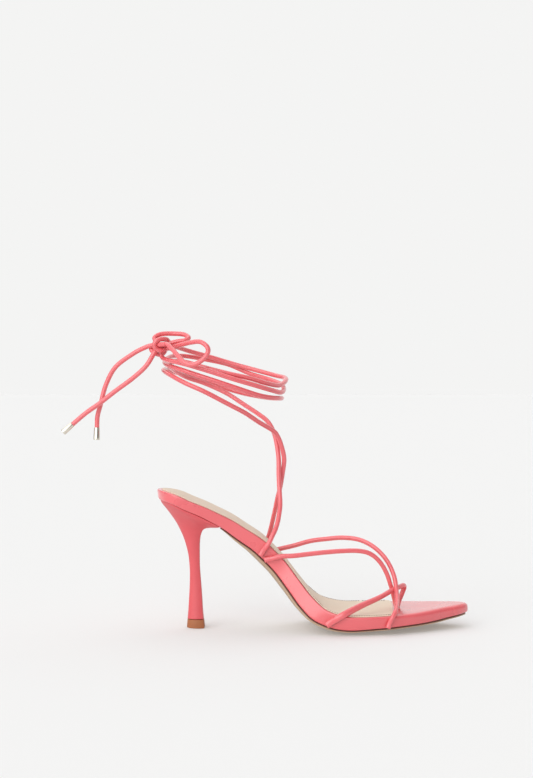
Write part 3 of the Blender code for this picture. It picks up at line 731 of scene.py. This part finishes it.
# %% The cord's details
SPOKES = 18
SEAM_HALF = radians(8)  # the joint's groove reaches this far to each side
SEAM_DEPTH = 0.05  # of the radius
CREASE_LENGTH = 0.0021
CREASE_DEPTH = 0.022  # of the radius, on the inside of a tight bend
CREASE_FROM, CREASE_GAIN = 0.10, 3  # a bend is a cord's radius over the bend's: gentler ones stay smooth
UNEVEN, UNEVEN_RATE = 1.7, 900  # keep the creases from coming at even steps
BEND_REACH = 3  # steps to each side over which a bend is read
PRESS_LENGTH = 0.009
PRESSED = 0.26  # thinner by this share where a cord is glued down
SPREAD = 0.10  # and wider by this share
PRESS_RISE, SPREAD_RISE = 1.6, 1.4  # both come in faster than their length, and then stay
CUT_EDGE = 0.00036  # rounding of a cord's cut ends
spoke_angles = [0.0] + [SEAM_HALF + (2 * pi - 2 * SEAM_HALF) * k / (SPOKES - 2) for k in range(SPOKES - 1)]


def eased(share):
    share = min(max(share, 0.0), 1.0)
    return share * share * (3 - 2 * share)


def bend_at(path, i):
    """Curvature vector, which points to the inside of the bend."""
    a, b, c = path[max(i - BEND_REACH, 0)], path[i], path[min(i + BEND_REACH, len(path) - 1)]
    span = (c - a).length / 2
    return (a + c - 2 * b) / max(span * span, 1e-9)


print("ring of", len(spoke_angles), "spokes, one of them the joint")


# %% Sweeping a cord
def sweep_cord(name, path, diameters, side, glued=(None, None), spread=SPREAD, spread_length=PRESS_LENGTH):
    """A cord along a path. diameters are those of its start and its end, side is where its joint starts, and
    glued gives, for each end that lies on another piece, the direction to that piece. A glued start is wider
    by the share spread, which fades over the spread length."""
    bm = bmesh.new()
    seam = bm.verts.layers.float.new("seam")
    spoke = bm.verts.layers.int.new("spoke")
    frames = frames_along(path, side)
    lengths = [0.0]
    for a, b in zip(path, path[1:]):
        lengths.append(lengths[-1] + (b - a).length)

    def put(verts, i):
        ahead, out = frames[i]
        across = ahead.cross(out)
        radius = (diameters[0] + (diameters[1] - diameters[0]) * eased(lengths[i] / lengths[-1])) / 2
        bend = bend_at(path, i)
        tight = max(0.0, bend.length * radius - CREASE_FROM)
        ripple = sin(2 * pi * lengths[i] / CREASE_LENGTH + UNEVEN * sin(UNEVEN_RATE * lengths[i]))
        for vert in verts:
            angle = spoke_angles[vert[spoke]]
            ray = out * cos(angle) + across * sin(angle)
            inside = max(0.0, ray.dot(bend.normalized())) if tight else 0.0
            crease = CREASE_DEPTH * min(1, CREASE_GAIN * tight) * inside * ripple
            reach = radius * (1 - SEAM_DEPTH * (vert[spoke] == 0) + crease)
            offset = ray * reach
            for toward, gone in zip(glued, (lengths[i], lengths[-1] - lengths[i])):
                if toward:
                    share = eased(PRESS_RISE * (1 - gone / PRESS_LENGTH))
                    broad = spread * eased(SPREAD_RISE * (1 - gone / spread_length))
                    wide = ahead.cross(toward).normalized()
                    offset -= toward * offset.dot(toward) * PRESSED * share
                    offset += wide * offset.dot(wide) * broad
                    offset += toward * share * (GLUE_GAP + radius * PRESSED)
            vert.co = path[i] + offset
            vert[seam] = float(vert[spoke] == 0)

    ring = bmesh.ops.create_circle(bm, cap_ends=False, segments=SPOKES, radius=diameters[0] / 2)["verts"]
    for k, vert in enumerate(ring):
        vert[spoke] = k
    put(ring, 0)
    edges = first = list(bm.edges)
    for i in range(1, len(path)):
        grown = bmesh.ops.extrude_edge_only(bm, edges=edges)["geom"]
        put(verts_among(grown), i)
        edges = [e for e in edges_among(grown) if e.is_boundary]
    for rim in (first, edges):
        bmesh.ops.edgeloop_fill(bm, edges=rim)
        bmesh.ops.bevel(
            bm, geom=rim, offset=CUT_EDGE, segments=2, profile=0.5, affect="EDGES", material=-1
        )
    bmesh.ops.recalc_face_normals(bm, faces=bm.faces)
    print(name, round(path_length(path), 4), "m long")
    return bm


# %% [markdown]
# ### Vamp straps
#
# Three straps hold the toes. Each starts glued on the side of the footbed. One crosses the instep from the
# inner side to the outer toe edge, one runs from the outer side down to the toe post, and one from the outer
# ball over the toes to the post. The two at the post go down into the footbed, so their routes are carried
# on a little.

# %% Vamp straps
TO_INNER, TO_OUTER = Vector((0, 1, 0)), Vector((0, -1, 0))


def carried_on(points, length):
    """A route that goes on straight past its last point."""
    last, before = Vector(points[-1]), Vector(points[-2])
    return points + [tuple(last + (last - before).normalized() * length)]


POST_SINK = 2.2  # millimetres into the footbed
SLIM_D = 3.1 * MM  # the long straps are drawn thinner towards the toes
WIDE_SPREAD, WIDE_LENGTH = 0.36, 0.055  # the toe strap is broad where it leaves the ball of the foot
straps = {
    "strap_instep": (INSTEP_STRAP, SLIM_D, TO_OUTER, TO_INNER, SPREAD, PRESS_LENGTH),
    "strap_post": (carried_on(POST_STRAP, POST_SINK), SLIM_D, TO_INNER, None, SPREAD, PRESS_LENGTH),
    "strap_toe": (carried_on(TOE_STRAP, POST_SINK), STRAP_D, TO_INNER, None, WIDE_SPREAD, WIDE_LENGTH),
}
for name, (route, end_diameter, first, last, spread, spread_length) in straps.items():
    path = smooth_path(route)
    bm = sweep_cord(name, path, (STRAP_D, end_diameter), first, (first, last), spread, spread_length)
    finish_piece(name, bm, cord_leather, ["vamp_straps"], levels=0)

# %% [markdown]
# ### Ankle ties
#
# The two ties rise from the arch, cross in front of the ankle, wind about it and meet in the knot behind.

# %% Ankle ties
ties = {
    "tie_lateral": (LATERAL_TIE, TO_INNER),
    "tie_medial": (MEDIAL_TIE + [KNOT], TO_OUTER),
}
for name, (route, side) in ties.items():
    bm = sweep_cord(name + "_cord", smooth_path(route), (TIE_D, TIE_D), side, (side, None))
    finish_piece(name + "_cord", bm, cord_leather, [name], levels=0)

# %% [markdown]
# ### Bow
#
# The bow has two loops, two hanging ends with metal tips, and a knot: one more turn of cord drawn tight round
# the roots of the loops, a tuck below it and a short strand inside. The loops and ends run on into the knot,
# where these hide their ends.

# %% Knot
KNOT_TURN = [  # round the roots of the loops, open to the right
    (-101.5, -9.4, 197.0), (-99.9, -12.0, 199.6), (-100.6, -15.5, 201.0), (-102.6, -18.6, 201.4),
    (-105.6, -20.6, 200.9), (-108.2, -21.4, 199.0), (-108.8, -21.2, 196.4), (-107.4, -20.6, 194.4),
    (-105.4, -20.2, 193.5), (-103.2, -19.2, 193.6), (-101.6, -16.8, 194.4), (-101.0, -13.5, 195.6),
    (-101.5, -9.4, 196.6),
]
KNOT_HEART = [  # inside the ring, on from the front loop's root
    (-100.6, -24.2, 197.5), (-103.0, -22.4, 197.6), (-105.4, -20.8, 197.3), (-107.4, -18.6, 196.6),
    (-108.4, -16.0, 195.8),
]
KNOT_TUCK = [  # under it, behind the front end
    (-101.8, -11.0, 194.4), (-103.2, -12.4, 192.0), (-105.7, -13.2, 190.8), (-108.2, -13.0, 191.4),
    (-110.2, -12.4, 192.8), (-111.8, -11.6, 194.2), (-110.4, -10.8, 195.9), (-107.2, -10.6, 196.4),
]
for name, route in (("knot_turn", KNOT_TURN), ("knot_tuck", KNOT_TUCK), ("knot_heart", KNOT_HEART)):
    bm = sweep_cord(name, smooth_path(route), (TIE_D, TIE_D), TO_INNER)
    finish_piece(name, bm, cord_leather, ["knot"], levels=0)

# %% [markdown]
# ### Loops
#
# Each loop leaves the knot and comes back to it. The front loop's lower strand passes before its upper one.

# %% Loops
for name, route in (("loop_upper", UPPER_LOOP), ("loop_front", FRONT_LOOP)):
    path = smooth_path(route)
    bm = sweep_cord(name + "_cord", path, (TIE_D, TIE_D), TO_INNER)
    loop = finish_piece(name + "_cord", bm, cord_leather, [name], levels=0)

# %% [markdown]
# ### Tips
#
# Each hanging end is held in a small metal tip, a little wider at its free end. A turned piece like this is
# a profile spun about an axis: the mouth that the cord goes into, the tapered wall, and a shallow hollow end.
# Fine noise in its gloss and colour keeps the metal from looking like plastic.

# %% Metal of the tips
tip_metal = bpy.data.materials.new("tip metal")
tip_metal.use_nodes = True
nodes, links = tip_metal.node_tree.nodes, tip_metal.node_tree.links
shader = nodes["Principled BSDF"]
shader.inputs["Metallic"].default_value = 1.0
where = nodes.new("ShaderNodeTexCoord")
polish = nodes.new("ShaderNodeTexNoise")
polish.inputs["Scale"].default_value = 900.0
polish.inputs["Detail"].default_value = 3.0
links.new(where.outputs["Object"], polish.inputs["Vector"])
sheen = nodes.new("ShaderNodeMapRange")
sheen.inputs["To Min"].default_value = 0.10
sheen.inputs["To Max"].default_value = 0.24
links.new(polish.outputs["Fac"], sheen.inputs["Value"])
links.new(sheen.outputs["Result"], shader.inputs["Roughness"])
tarnish = nodes.new("ShaderNodeMix")
tarnish.data_type = "RGBA"
tarnish.inputs["A"].default_value = (0.70, 0.665, 0.575, 1.0)
tarnish.inputs["B"].default_value = (0.78, 0.745, 0.655, 1.0)
links.new(polish.outputs["Fac"], tarnish.inputs["Factor"])
links.new(tarnish.outputs["Result"], shader.inputs["Base Color"])
print(tip_metal.name, len(nodes), "nodes")

# %% Hanging ends and their tips
TIP_GAP = 0.3 * MM
TIP_PROFILE = [  # radius and place along the tip, in millimetres, from its mouth to its end
    (1.70, 0.9), (1.72, 0.1), (1.84, 0.0), (1.95, 0.15), (2.24, 8.25), (2.24, 8.45), (2.10, 8.68),
    (1.75, 8.70), (1.60, 8.45), (0.0, 8.40),
]
INTO_TIP = 3  # steps that the cord goes on into its tip


def spun_tip(mouth, direction):
    bm = bmesh.new()
    verts = [bm.verts.new((r * MM, 0, z * MM)) for r, z in TIP_PROFILE]
    edges = [bm.edges.new(pair) for pair in zip(verts, verts[1:])]
    bmesh.ops.spin(
        bm, geom=verts + edges, cent=(0, 0, 0), axis=(0, 0, 1), angle=2 * pi, steps=32, use_merge=True
    )
    bmesh.ops.remove_doubles(bm, verts=bm.verts, dist=WELD)
    bmesh.ops.recalc_face_normals(bm, faces=bm.faces)
    matrix = Matrix.Translation(mouth) @ direction.to_track_quat("Z", "Y").to_matrix().to_4x4()
    bmesh.ops.transform(bm, matrix=matrix, verts=bm.verts)
    return bm


for name, route in (("upper", UPPER_END), ("front", FRONT_END)):
    path = smooth_path(route)
    direction = (path[-1] - path[-3]).normalized()
    bm = spun_tip(path[-1] + direction * TIP_GAP, direction)
    tip = finish_piece("tip_" + name + "_metal", bm, tip_metal, ["tip_" + name], levels=0)
    path = path + [path[-1] + direction * CORD_STEP * k for k in range(1, INTO_TIP + 1)]
    bm = sweep_cord("end_" + name + "_cord", path, (TIE_D, TIE_D), TO_INNER)
    end = finish_piece("end_" + name + "_cord", bm, cord_leather, ["end_" + name], levels=0)
